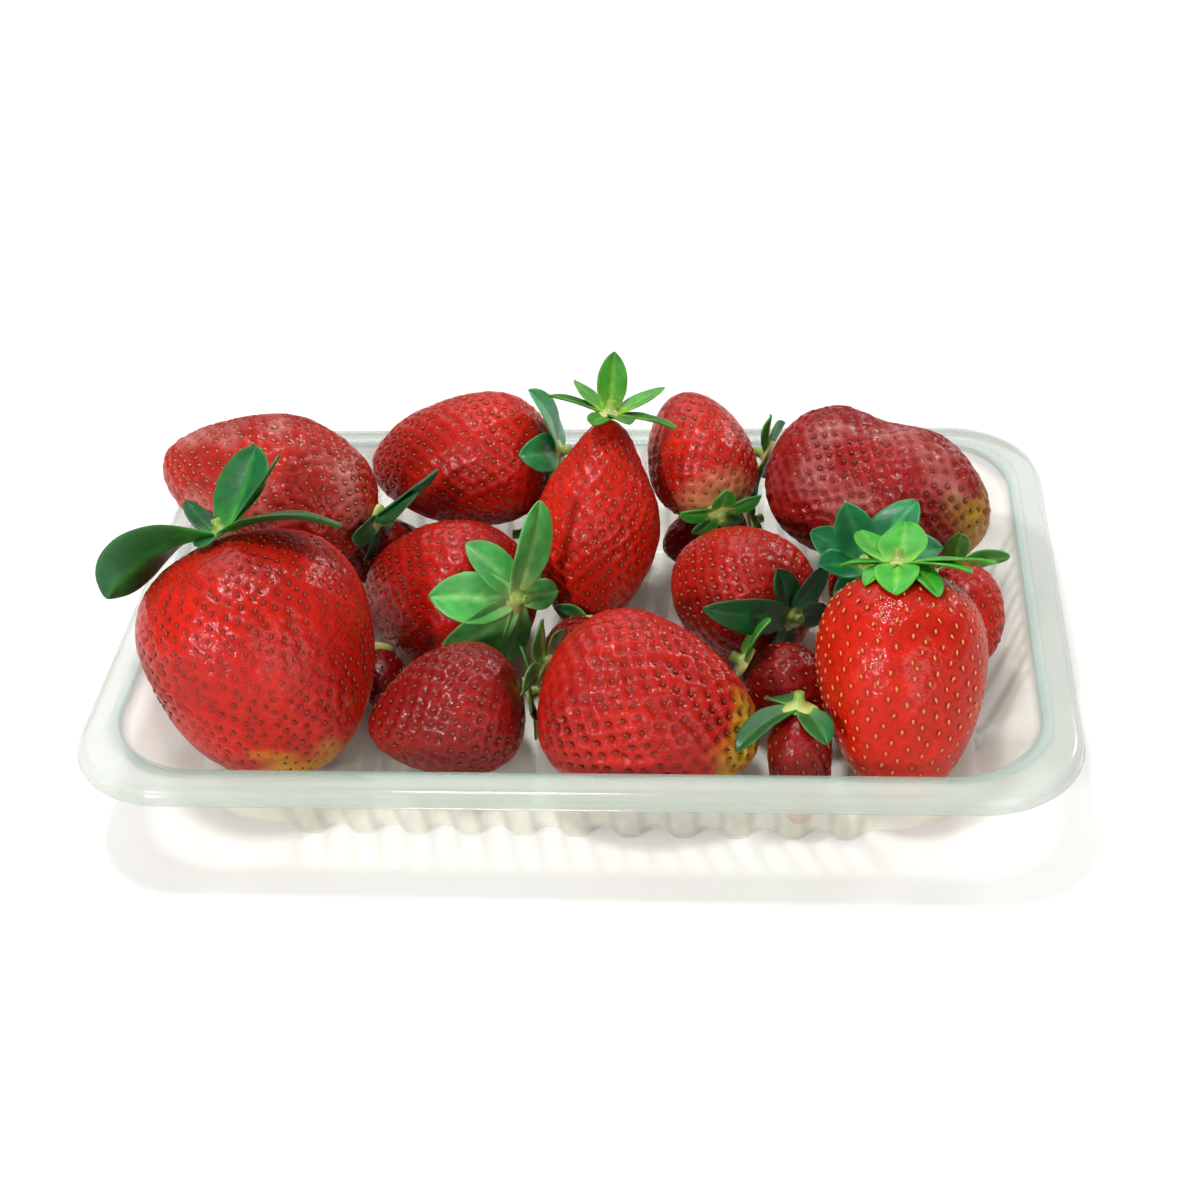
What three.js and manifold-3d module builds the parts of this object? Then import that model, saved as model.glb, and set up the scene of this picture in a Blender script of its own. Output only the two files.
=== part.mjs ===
// Strawberries heaped in a clear thermoformed tray. Millimetres, +Z up.
// The origin is under the middle of the tray, on the surface that it stands on;
// +X runs along the tray, and -Y is the long side that faces whoever picks a berry.

import * as THREE from "three";
import { mergeVertices } from "three/addons/utils/BufferGeometryUtils.js";
import Module from "manifold-3d";

const wasm = await Module();
wasm.setup();

// ---- Driving dimensions -------------------------------------------------------------------

const trayLength = 190; // over the rim's lip
const trayWidth = 130;
const trayDepth = 24; // table to the top of the rim
const sheet = 0.5; // thickness of the formed plastic
const rimWidth = 6.5; // flat of the rim, from its fold to the mouth
const lipDrop = 3; // the lip turns down by this
const lipFlare = 1.5; // and out by this
const rimCorner = 20; // outer corner radius, at the lip
const mouthCorner = 18; // corner radius where the wall starts
const floorCorner = 20; // corner radius at the floor
const wallLean = 10; // the wall leans in by this on its way down
const floorFillet = 2.5; // the wall turns into the floor over this
const ribPitch = 10.3;
const ribDepth = 2; // ribs stand out of the floor and the walls by this
const ribFlat = 3.2; // width of a rib's foot
const ribSlope = 2; // width of each of its flanks

const gap = 0.3; // clearance between things that touch
const berrySize = 1; // scales every berry's length and width
const leafSize = 1; // scales every sepal's length and width
const leafThickness = 0.8;
const capRadius = 3.6; // the disc that the sepals grow from
const capThickness = 1;
const stemRadius = 1.1;
const stemLength = 3;

// ---- Solids from meshes -------------------------------------------------------------------

function solidOf(geometry) {
  const bare = geometry.index ? geometry.toNonIndexed() : geometry.clone();
  for (const name of Object.keys(bare.attributes)) {
    if (name !== "position") bare.deleteAttribute(name);
  }
  const merged = mergeVertices(bare, 1e-4);
  return new wasm.Manifold(
    new wasm.Mesh({
      numProp: 3,
      vertProperties: merged.attributes.position.array,
      triVerts: new Uint32Array(merged.index.array),
    }),
  );
}

function geometryOf(solid) {
  const mesh = solid.getMesh();
  const geometry = new THREE.BufferGeometry();
  const corners = new THREE.BufferAttribute(new Float32Array(mesh.vertProperties), mesh.numProp);
  geometry.setAttribute("position", corners);
  geometry.setIndex(new THREE.BufferAttribute(new Uint32Array(mesh.triVerts), 1));
  return geometry;
}

function surface(points, triangles) {
  const geometry = new THREE.BufferGeometry();
  geometry.setAttribute("position", new THREE.Float32BufferAttribute(points.flat(), 3));
  geometry.setIndex(triangles.flat());
  return geometry;
}

function closeTo(solid, others, distance) {
  return others.some((other) => solid.minGap(other, distance) < distance);
}

// ---- Tray ---------------------------------------------------------------------------------

const mouthInset = lipFlare + rimWidth;
const mouthHalf = [trayLength / 2 - mouthInset, trayWidth / 2 - mouthInset];
const floorHalf = mouthHalf.map((half) => half - wallLean);
const floorTop = ribDepth + sheet;

// The ribs fill the straight part of each side, an even number of pitches long, so that the
// middle of the tray stands on a rib's foot.
function ribCount(half) {
  const room = 2 * (half - floorCorner) - ribFlat - 2 * ribSlope;
  return 2 * Math.max(1, Math.floor(room / (2 * ribPitch)));
}

// Places along one side, from its middle: x, and how far down the rib's flank it is, 0 to 1.
function ribStations(half) {
  const count = ribCount(half);
  const stations = [];
  for (let i = 0; i <= count; i++) {
    const middle = (i - count / 2) * ribPitch;
    const foot = ribFlat / 2;
    const flank = foot + ribSlope;
    if (i > 0) stations.push([middle - flank, 0]);
    stations.push([middle - foot, 1], [middle + foot, 1]);
    if (i < count) stations.push([middle + flank, 0]);
  }
  const end = (count * ribPitch) / 2 + ribFlat / 2 + ribSlope;
  return [[-end, 0], ...stations, [end, 0]];
}

const ARC_STEPS = 7;
const [alongRibs, acrossRibs] = floorHalf.map(ribStations);

// One closed ring round the tray, counterclockwise from the front side, as [x, y, rib] rows.
function ringPoints(halfX, halfY, radius, ribOut) {
  const ring = [];
  const side = (stations, place) => {
    for (const [along, rib] of stations) ring.push([...place(along, rib * ribOut), rib]);
  };
  const corner = (centre, startAngle) => {
    for (let i = 0; i <= ARC_STEPS; i++) {
      const angle = startAngle + ((Math.PI / 2) * i) / ARC_STEPS;
      const out = [Math.cos(angle) * radius, Math.sin(angle) * radius];
      ring.push([centre[0] + out[0], centre[1] + out[1], 0]);
    }
  };
  const cx = halfX - radius;
  const cy = halfY - radius;
  side(alongRibs, (along, out) => [along, -halfY - out]);
  corner([cx, -cy], -Math.PI / 2);
  side(acrossRibs, (along, out) => [halfX + out, along]);
  corner([cx, cy], 0);
  side(alongRibs, (along, out) => [-along, halfY + out]);
  corner([-cx, cy], Math.PI / 2);
  side(acrossRibs, (along, out) => [-halfX - out, -along]);
  corner([-cx, -cy], Math.PI);
  return ring;
}

// The rings of one face of the sheet, from the lip's edge to the floor's. inward moves the
// whole face in and up by the sheet's thickness, which gives the sheet's upper face.
function trayRings(inward) {
  const lift = inward ? sheet : 0;
  const under = inward ? 0 : sheet; // the lower face hangs under the rim's top
  const at = (inset, z, radius, ribOut) => ({ inset, z, radius, ribOut });
  const wallAt = (share) => mouthInset + wallLean * share;
  const rounded = (share) => mouthCorner + (floorCorner - mouthCorner) * share;
  const rows = [
    at(inward ? 0 : sheet, trayDepth - lipDrop, rimCorner, 0),
    at(lipFlare + (inward ? 0 : sheet), trayDepth - under, rimCorner - lipFlare, 0),
    at(mouthInset + (inward ? 0 : -sheet), trayDepth - under, mouthCorner, 0),
    at(wallAt(0.1) - sheet + lift, trayDepth - lipDrop, rounded(0.1), ribDepth / 4),
    at(wallAt(0.75) - sheet + lift, floorTop + floorFillet, rounded(0.75), ribDepth / 2),
    at(wallAt(1) - sheet + lift, ribDepth + lift, floorCorner, ribDepth / 2),
  ];
  return rows.map(({ inset, z, radius, ribOut }, index) => {
    const halfX = trayLength / 2 - inset;
    const halfY = trayWidth / 2 - inset;
    const isFloor = index === rows.length - 1;
    const ring = ringPoints(halfX, halfY, radius, ribOut);
    const onLongSide = (y) => Math.abs(y) > acrossRibs.at(-1)[0] + 1;
    return ring.map(([x, y, rib]) => {
      const sinks = isFloor && onLongSide(y) && Math.abs(x) <= alongRibs.at(-1)[0] + 1e-6;
      return [x, y, sinks ? z - rib * ribDepth : z];
    });
  });
}

function makeTray() {
  const upper = trayRings(true);
  const lower = trayRings(false);
  const count = upper[0].length;
  const points = [...upper.flat(), ...lower.flat()];
  const lowerStart = upper.length * count;
  const triangles = [];
  const quad = (a, b, c, d) => triangles.push([a, b, c], [a, c, d]);
  for (let i = 0; i < count; i++) {
    const next = (i + 1) % count;
    for (let r = 0; r + 1 < upper.length; r++) {
      const u = r * count;
      quad(u + i, u + next, u + count + next, u + count + i);
      const l = lowerStart + r * count;
      quad(l + next, l + i, l + count + i, l + count + next);
    }
    quad(next, i, lowerStart + i, lowerStart + next); // the lip's edge
  }
  // The floor: strips from the front edge to the back edge, and a fan over each end.
  const strips = alongRibs.length;
  const cornerRun = ARC_STEPS + 1;
  const backStart = strips + cornerRun + acrossRibs.length + cornerRun;
  const floorRow = (upper.length - 1) * count;
  const paveFloor = (base, flip) => {
    const tri = (a, b, c) => {
      const corners = [base + a, base + b, base + c];
      triangles.push(flip ? corners.reverse() : corners);
    };
    const backOf = (i) => backStart + strips - 1 - i;
    for (let i = 0; i + 1 < strips; i++) {
      tri(i, i + 1, backOf(i + 1));
      tri(i, backOf(i + 1), backOf(i));
    }
    for (let i = strips - 1; i < backStart - 1; i++) tri(i, i + 1, backStart);
    for (let i = backStart + strips - 1; i < count - 1; i++) tri(i, i + 1, 0);
  };
  paveFloor(floorRow, false);
  paveFloor(lowerStart + floorRow, true);
  return surface(points, triangles);
}

// ---- Berries ------------------------------------------------------------------------------

// A berry grows along its own +Z, tip down. Its outline is two cubic curves that meet at the
// widest place: the flank from the tip, and the shoulder to the stem end.
function berryOutline({ length, width, widest, shoulder, tip }) {
  const half = width / 2;
  const top = length / 2;
  const waist = top - length * widest;
  const point = (x, y) => new THREE.Vector2(x, y);
  const flank = new THREE.CubicBezierCurve(
    point(0, -top),
    point(half * tip, -top),
    point(half, waist - (waist + top) * tip),
    point(half, waist),
  );
  const crown = new THREE.CubicBezierCurve(
    point(half, waist),
    point(half, waist + (top - waist) * shoulder),
    point(half * (0.35 + 0.5 * shoulder), top),
    point(0, top),
  );
  return [flank, crown];
}

const OUTLINE_STEPS = 6;
const BERRY_SIDES = 16;

function berryGeometry(shape) {
  const [flank, crown] = berryOutline(shape);
  const outline = [...flank.getPoints(OUTLINE_STEPS), ...crown.getPoints(OUTLINE_STEPS - 1).slice(1)];
  outline[0].x = 0;
  outline.at(-1).x = 0;
  const geometry = new THREE.LatheGeometry(outline, BERRY_SIDES);
  geometry.rotateX(Math.PI / 2);
  const spots = geometry.getAttribute("position");
  const place = new THREE.Vector3();
  for (let i = 0; i < spots.count; i++) {
    place.fromBufferAttribute(spots, i);
    shapeBerry(place, shape);
    spots.setXYZ(i, place.x, place.y, place.z);
  }
  return geometry;
}

// Waves the berry's sides into lobes, adds its bumps and hollows, flattens it, and bends its
// tip to one side. A bump is [direction, share of the length from the stem end, spread in
// degrees, spread as a share of the length, height as a share of the radius].
function shapeBerry(place, { length, width, flat, lobes, lobeDepth, lobeTurn, bend, bumps }) {
  const angle = THREE.MathUtils.radToDeg(Math.atan2(place.y, place.x));
  const down = 0.5 - place.z / length;
  let swell = 1 + lobeDepth * Math.cos(THREE.MathUtils.degToRad(lobes * (angle - lobeTurn)));
  for (const [direction, at, spreadRound, spreadAlong, height] of bumps) {
    const away = THREE.MathUtils.euclideanModulo(angle - direction + 180, 360) - 180;
    swell += height * Math.exp(-((away / spreadRound) ** 2) - ((down - at) / spreadAlong) ** 2);
  }
  place.x = place.x * swell + bend * width * down * down;
  place.y *= swell * flat;
}

// The berry's own axes in the tray's frame: +Z to its stem end, and +X as nearly up as it can
// be, or along the tray where the berry itself stands up.
function berryAxes({ heading, rise, turn }) {
  const h = THREE.MathUtils.degToRad(heading);
  const r = THREE.MathUtils.degToRad(rise);
  const stem = new THREE.Vector3(Math.cos(r) * Math.cos(h), Math.cos(r) * Math.sin(h), Math.sin(r));
  const guide = Math.abs(stem.z) > 0.8 ? new THREE.Vector3(1, 0, 0) : new THREE.Vector3(0, 0, 1);
  const side = guide.addScaledVector(stem, -guide.dot(stem)).normalize();
  side.applyAxisAngle(stem, THREE.MathUtils.degToRad(turn));
  return new THREE.Matrix4().makeBasis(side, new THREE.Vector3().crossVectors(stem, side), stem);
}

const plain = {
  widest: 0.36, // the widest place, as a share of the length from the stem end
  shoulder: 0.6, // 0.55 is round, more is square
  tip: 0.5, // the same for the tip, less is pointed
  flat: 1, // thickness over width
  lobes: 3,
  lobeDepth: 0.02,
  lobeTurn: 0,
  bend: 0, // how far the tip leans to the berry's +X, as a share of its width
  turn: 0, // turn about its own axis
  bumps: [],
};

// Berries in the order in which they went into the tray. along and across are percent of the
// mouth's half length and half width. heading and rise point from the tip to the stem end.
// Each sepal is [direction round the stem, length, width, lift off the shoulder, curl].
const berries = [
  // The lower layer.
  {
    name: "low_left", along: -57, across: 61, heading: 200, rise: 15, length: 22, width: 16,
    sepals: [[75, 8, 5, 15, -30], [150, 8, 5, 10, -30], [215, 8, 5, 10, -30]],
  },
  {
    name: "low_centre", along: -5, across: 70, heading: 190, rise: 5, length: 26, width: 18,
    sepals: [[150, 8, 5, 10, -30], [220, 8, 5, 10, -30], [300, 8, 5, 15, -30]],
  },
  {
    name: "low_right", along: 25, across: 70, heading: 20, rise: 8, length: 20, width: 16,
    sepals: [[0, 8, 5, 20, -30], [75, 8, 5, 15, -30], [150, 8, 5, 10, -30], [215, 8, 5, 10, -30],
      [290, 8, 5, 15, -30]],
  },
  {
    name: "low_middle", along: -4.5, across: -9, heading: 70, rise: 5, length: 20, width: 15,
    sepals: [[75, 8, 5, 20, -30], [150, 8, 5, 25, -30], [290, 8, 5, 15, -30]],
  },
  {
    name: "low_between", along: -50, across: -17, heading: 100, rise: 10, length: 14, width: 11,
    sepals: [[290, 7, 5, 15, -30]],
  },
  {
    name: "low_corner", along: 49, across: -74.5, heading: 90, rise: 70, length: 23, width: 13,
    sepals: [[215, 14, 7, 0, -50], [300, 10, 6, 0, -50], [120, 10, 6, 10, -40]],
  },
  {
    name: "front_low", along: -30.5, across: -52, heading: 12, rise: 8, length: 32, width: 27, tip: 0.44,
    sepals: [[0, 10, 5, 20, -30], [75, 9, 6, 15, -30], [150, 8, 5, 10, -30], [215, 9, 6, 10, -30],
      [290, 10, 5, 15, -30]],
  },
  {
    name: "front_left", along: -71.5, across: -47, heading: 125, rise: 60, length: 50, width: 46, tip: 0.56,
    sepals: [[196, 25, 16.5, 20, -50, 66], [51, 19, 11, 41, 10, 42], [9, 18, 4.5, 33, 8],
      [340, 27, 13, 12, -45, -20], [141, 10, 5, 40, 20], [262, 8, 6, 7, -25]],
  },
  {
    name: "front_middle", along: 16.5, across: -58, heading: 163, rise: 12, length: 44, width: 35,
    flat: 1.1,
    sepals: [[0, 11, 6, 25, -30], [75, 9, 6, 15, -30], [290, 11, 6, 15, -30]],
  },
  {
    name: "low_front", along: 49, across: -32, heading: 170, rise: 30, length: 24, width: 18,
    sepals: [[0, 11, 6, 20, -30], [75, 11, 6, 15, -30], [150, 8, 5, 10, -30]],
  },
  {
    name: "far_right", along: 87.5, across: -4, heading: 100, rise: 20, length: 22, width: 17,
    sepals: [[0, 10, 5, 20, -30], [75, 10, 6, 15, -30], [150, 9, 5, 10, -30]],
  },
  {
    name: "middle_right", along: 34, across: 20, heading: -50, rise: 11, length: 35, width: 29,
    sepals: [[62, 25, 7, 35, -60], [15, 12, 6, 25, -30], [330, 12, 6, 35, -20], [150, 9, 5, 5, -40],
      [250, 9, 5, 10, -30]],
  },
  {
    name: "behind_right", along: 67.5, across: 19, heading: -110, rise: 58, length: 28, width: 20,
    sepals: [[2, 15, 9, 25, -20], [48, 15, 9, 20, -20], [104, 15, 8, 75, -20], [154, 12, 7, 45, -20],
      [205, 12, 7, 60, -20], [257, 14, 8, 35, -20], [313, 15, 9, 30, -20]],
  },
  {
    name: "front_right", along: 71, across: -53, heading: 92, rise: 58, length: 45, width: 33,
    sepals: [[265, 13, 8, 5, -55], [232, 10, 5, 5, -50], [330, 14, 7, 10, -30], [302, 13, 6, 0, -50],
      [80, 13, 9, 30, 10], [122, 13, 8, 25, 5], [358, 17, 7, 10, -20], [188, 10, 6, 15, -30]],
  },
  {
    name: "middle_left", along: -36.5, across: 13, heading: -32, rise: 18, length: 41, width: 32,
    sepals: [[15, 15, 8, 10, -55], [60, 18, 10, 0, -60], [105, 19, 10, 0, -60], [160, 15, 8, 0, -50],
      [335, 20, 10, 35, -30], [250, 10, 6, 20, -30]],
  },
  {
    name: "centre", along: -0.5, across: 37, heading: 68, rise: 67, length: 48, width: 27.5,
    widest: 0.5, shoulder: 0.35, tip: 0.4,
    sepals: [[100, 13, 6, 65, 0], [180, 12, 5, 20, -20], [150, 10, 5, 30, 0], [30, 12, 6, 30, 0],
      [350, 13, 6, 10, -25], [300, 8, 5, 10, -20], [250, 7, 5, 0, -20]],
  },
  {
    name: "back_centre", along: 24, across: 71, heading: -70, rise: -25, length: 30, width: 24,
    sepals: [[0, 8, 5, 20, -30], [75, 8, 5, 15, -30], [150, 8, 5, 10, -30], [215, 8, 5, 10, -30],
      [290, 8, 5, 15, -30]],
  },
  {
    name: "back_left", along: -81.5, across: 44, heading: -15, rise: -8, length: 50, width: 33,
    widest: 0.42, tip: 0.42, bumps: [[0, 0.45, 45, 0.16, 0.1]],
    sepals: [[10, 13, 8, 50, -10], [330, 16, 9, 45, -10], [80, 10, 6, 10, -30], [150, 8, 5, 10, -30],
      [240, 9, 6, 15, -30]],
  },
  {
    name: "back_middle", along: -36, across: 75, heading: -3, rise: 8, length: 42, width: 30,
    sepals: [[5, 16, 9, 15, -50], [60, 14, 8, 5, -55], [120, 10, 6, 5, -40], [200, 8, 5, 5, -30],
      [290, 11, 6, 10, -40]],
  },
  {
    name: "back_right", along: 68.4, across: 65, heading: 161, rise: 10, length: 50, width: 33,
    bumps: [[0, 0.42, 50, 0.1, -0.1], [0, 0.72, 60, 0.16, 0.14]], tip: 0.62,
    sepals: [[0, 9, 5, 20, -30], [75, 9, 6, 15, -30], [150, 8, 5, 10, -30], [215, 9, 6, 10, -30]],
  },
];

// ---- Sepals and stem stubs ----------------------------------------------------------------

// Half width of a sepal along its length, from its root to its point.
const SEPAL_OUTLINE = [[0, 0.6], [0.36, 1], [0.74, 0.7]];

// One sepal in the berry's frame, as a thin keeled leaf. It leaves the cap at an angle of lift
// above the shoulder, and by its point it has turned by curl along its length and by roll
// about it.
function sepalGeometry([direction, length, width, lift, curl, roll = 0], capHeight) {
  const round = new THREE.Matrix4().makeRotationZ(THREE.MathUtils.degToRad(direction));
  const points = [];
  let out = capRadius * 0.45;
  let up = capHeight + leafThickness / 2;
  let last = 0;
  const walk = (share) => {
    const angle = THREE.MathUtils.degToRad(lift + (curl * (share + last)) / 2);
    out += length * leafSize * (share - last) * Math.cos(angle);
    up += length * leafSize * (share - last) * Math.sin(angle);
    last = share;
    return THREE.MathUtils.degToRad(lift + curl * share);
  };
  for (const [share, fullness] of SEPAL_OUTLINE) {
    const angle = walk(share);
    const half = (width * leafSize * fullness) / 2;
    const thick = (leafThickness / 2) * (1 - 0.4 * share);
    const above = new THREE.Vector3(-Math.sin(angle), 0, Math.cos(angle));
    const turn = THREE.MathUtils.degToRad(roll) * share;
    const aside = new THREE.Vector3(0, Math.cos(turn), 0).addScaledVector(above, Math.sin(turn));
    above.multiplyScalar(Math.cos(turn)).y -= Math.sin(turn);
    for (const [across, over] of [[-half, 0], [0, -thick], [half, 0], [0, thick]]) {
      const spot = new THREE.Vector3(out, 0, up).addScaledVector(aside, across);
      points.push(spot.addScaledVector(above, over).toArray());
    }
  }
  walk(1);
  points.push([out, 0, up]);
  const triangles = [[0, 2, 1], [0, 3, 2]];
  const rows = SEPAL_OUTLINE.length;
  for (let row = 0; row < rows; row++) {
    for (let side = 0; side < 4; side++) {
      const here = row * 4 + side;
      const beside = row * 4 + ((side + 1) % 4);
      if (row + 1 < rows) {
        triangles.push([here, beside, beside + 4], [here, beside + 4, here + 4]);
      } else {
        triangles.push([here, beside, rows * 4]);
      }
    }
  }
  return surface(points, triangles).applyMatrix4(round);
}

// The cap that the sepals grow from, with the cut stub of the stem on it.
function capSolid(capHeight, length) {
  const cap = new THREE.CylinderGeometry(capRadius * 0.8, capRadius, capThickness, 12);
  cap.rotateX(Math.PI / 2).translate(0, 0, capHeight + capThickness / 2);
  const stub = new THREE.CylinderGeometry(stemRadius, stemRadius, length, 8);
  stub.rotateX(Math.PI / 2).translate(0, 0, capHeight + capThickness / 2 + length / 2);
  return solidOf(cap).add(solidOf(stub));
}

// ---- Assembly -----------------------------------------------------------------------------

const materials = {
  tray: new THREE.MeshStandardMaterial({
    color: 0xdfe8e2,
    roughness: 0.12,
    metalness: 0,
    transparent: true,
    opacity: 0.35,
  }),
  berry: new THREE.MeshStandardMaterial({ color: 0xb3261a, roughness: 0.3, metalness: 0 }),
  leaf: new THREE.MeshStandardMaterial({ color: 0x3c8434, roughness: 0.5, metalness: 0 }),
};

const group = new THREE.Group();
const placed = [];

function addMesh(name, geometry, material) {
  const mesh = new THREE.Mesh(geometry, material);
  mesh.name = name;
  group.add(mesh);
}

const trayGeometry = makeTray();
placed.push(solidOf(trayGeometry));
addMesh("tray", trayGeometry, materials.tray);

// How far a solid drops from above until it is one gap clear of what lies under it.
function dropOf(solid) {
  const reach = 4;
  let drop = 0;
  for (let tries = 0; tries < 400; tries++) {
    const lowered = solid.translate([0, 0, -drop]);
    const room = Math.min(...placed.map((other) => lowered.minGap(other, reach + gap)));
    if (room < gap + 0.02) break;
    drop += room - gap;
  }
  return drop;
}

for (const entry of berries) {
  const shape = { ...plain, ...entry };
  shape.length *= berrySize;
  shape.width *= berrySize;
  const geometry = berryGeometry(shape);
  const spot = [(mouthHalf[0] * shape.along) / 100, (mouthHalf[1] * shape.across) / 100];
  const start = trayDepth + 100;
  entry.place = berryAxes(shape).setPosition(...spot, start);
  const raised = solidOf(geometry.clone().applyMatrix4(entry.place));
  const drop = dropOf(raised);
  entry.place.setPosition(...spot, start - drop);
  entry.capHeight = shape.length / 2 + gap;
  geometry.applyMatrix4(entry.place);
  placed.push(solidOf(geometry));
  addMesh(`berry_${shape.name}`, geometry, materials.berry);
}

// Each sepal lifts by steps until it is clear of every berry and of the sepals made before it,
// and one that finds no room is left out. A stem end that is pressed against a neighbour has
// had its stub trimmed off.
const clearance = gap * 0.7;
for (const entry of berries) {
  let leaves = capSolid(entry.capHeight, stemLength).transform(entry.place.elements);
  if (closeTo(leaves, placed, clearance)) {
    leaves = capSolid(entry.capHeight, capThickness / 2).transform(entry.place.elements);
  }
  for (const sepal of entry.sepals) {
    for (let lift = sepal[3]; lift <= 85; lift += 5) {
      const tried = sepalGeometry(sepal.with(3, lift), entry.capHeight);
      const leaf = solidOf(tried.applyMatrix4(entry.place));
      if (closeTo(leaf, placed, clearance)) continue;
      leaves = leaves.add(leaf);
      break;
    }
  }
  placed.push(leaves);
  addMesh(`leaves_${entry.name}`, geometryOf(leaves), materials.leaf);
}

export default group;
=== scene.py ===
"""Strawberries heaped in a clear ribbed tray: the fine surfaces, materials, light and camera."""

import math

import bpy
import numpy as np
from mathutils import Matrix, Vector
from mathutils.kdtree import KDTree


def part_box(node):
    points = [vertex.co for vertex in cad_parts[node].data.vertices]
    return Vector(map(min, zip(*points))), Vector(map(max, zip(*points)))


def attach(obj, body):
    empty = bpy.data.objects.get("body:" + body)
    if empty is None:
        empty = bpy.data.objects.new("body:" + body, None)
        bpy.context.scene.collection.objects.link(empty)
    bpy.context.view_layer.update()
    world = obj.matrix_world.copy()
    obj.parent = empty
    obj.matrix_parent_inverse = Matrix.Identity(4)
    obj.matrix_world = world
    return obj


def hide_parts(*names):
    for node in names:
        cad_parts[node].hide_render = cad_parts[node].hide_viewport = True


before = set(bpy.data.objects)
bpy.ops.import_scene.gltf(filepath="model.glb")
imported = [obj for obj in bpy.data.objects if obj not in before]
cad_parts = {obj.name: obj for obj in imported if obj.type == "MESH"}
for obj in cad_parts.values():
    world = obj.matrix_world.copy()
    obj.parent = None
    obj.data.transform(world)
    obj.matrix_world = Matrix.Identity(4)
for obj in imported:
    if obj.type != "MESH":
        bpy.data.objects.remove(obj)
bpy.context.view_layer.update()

MM = 0.001

# ---- Sizes of the tray and the sepals, in millimetres ---------------------------------------

TRAY_LENGTH = 190
TRAY_WIDTH = 130
TRAY_DEPTH = 24
SHEET = 0.5
RIM_WIDTH = 6.5
LIP_DROP = 3
LIP_FLARE = 1.5
RIM_CORNER = 20
MOUTH_CORNER = 18
FLOOR_CORNER = 20
WALL_LEAN = 10
RIB_PITCH = 10.3
RIB_DEPTH = 2
RIB_FLAT = 3.2
RIB_SLOPE = 2
RIB_COUNTS = (11, 5)
MOUTH_INSET = RIM_WIDTH + LIP_FLARE

GAP = 0.3
CAP_RADIUS = 3.6
CAP_THICKNESS = 1
STEM_LENGTH = 3
LEAF_THICKNESS = 0.8
SEPAL_SKIN = 0.45

PLAIN = {
    "widest": 0.36,
    "shoulder": 0.6,
    "tip": 0.5,
    "flat": 1,
    "bend": 0,
    "turn": 0,
    "bumps": [],
    # Looks: skin colours, how deep the seed pits are in mm, how far apart the seeds are in mm,
    # seed colour, and how much of the tip has stayed yellow-green.
    "skin": "B3241B",
    "shade": "7E1416",
    "pit": 0.4,
    "spacing": 3.0,
    "seed": "96481E",
    "unripe": 0.0,
    "pale_shoulder": 0.0,
    # How far the neck is drawn in, how much painted pale sheen lies on the ridges between the pits, the
    # sepals' greens, and whether the stem end has a stub on it.
    "neck": 0.0,
    "pale_sheen": 0.0,
    "leaf": "147A26",
    "vein": "8CCB3C",
    "stub": True,
}

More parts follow.
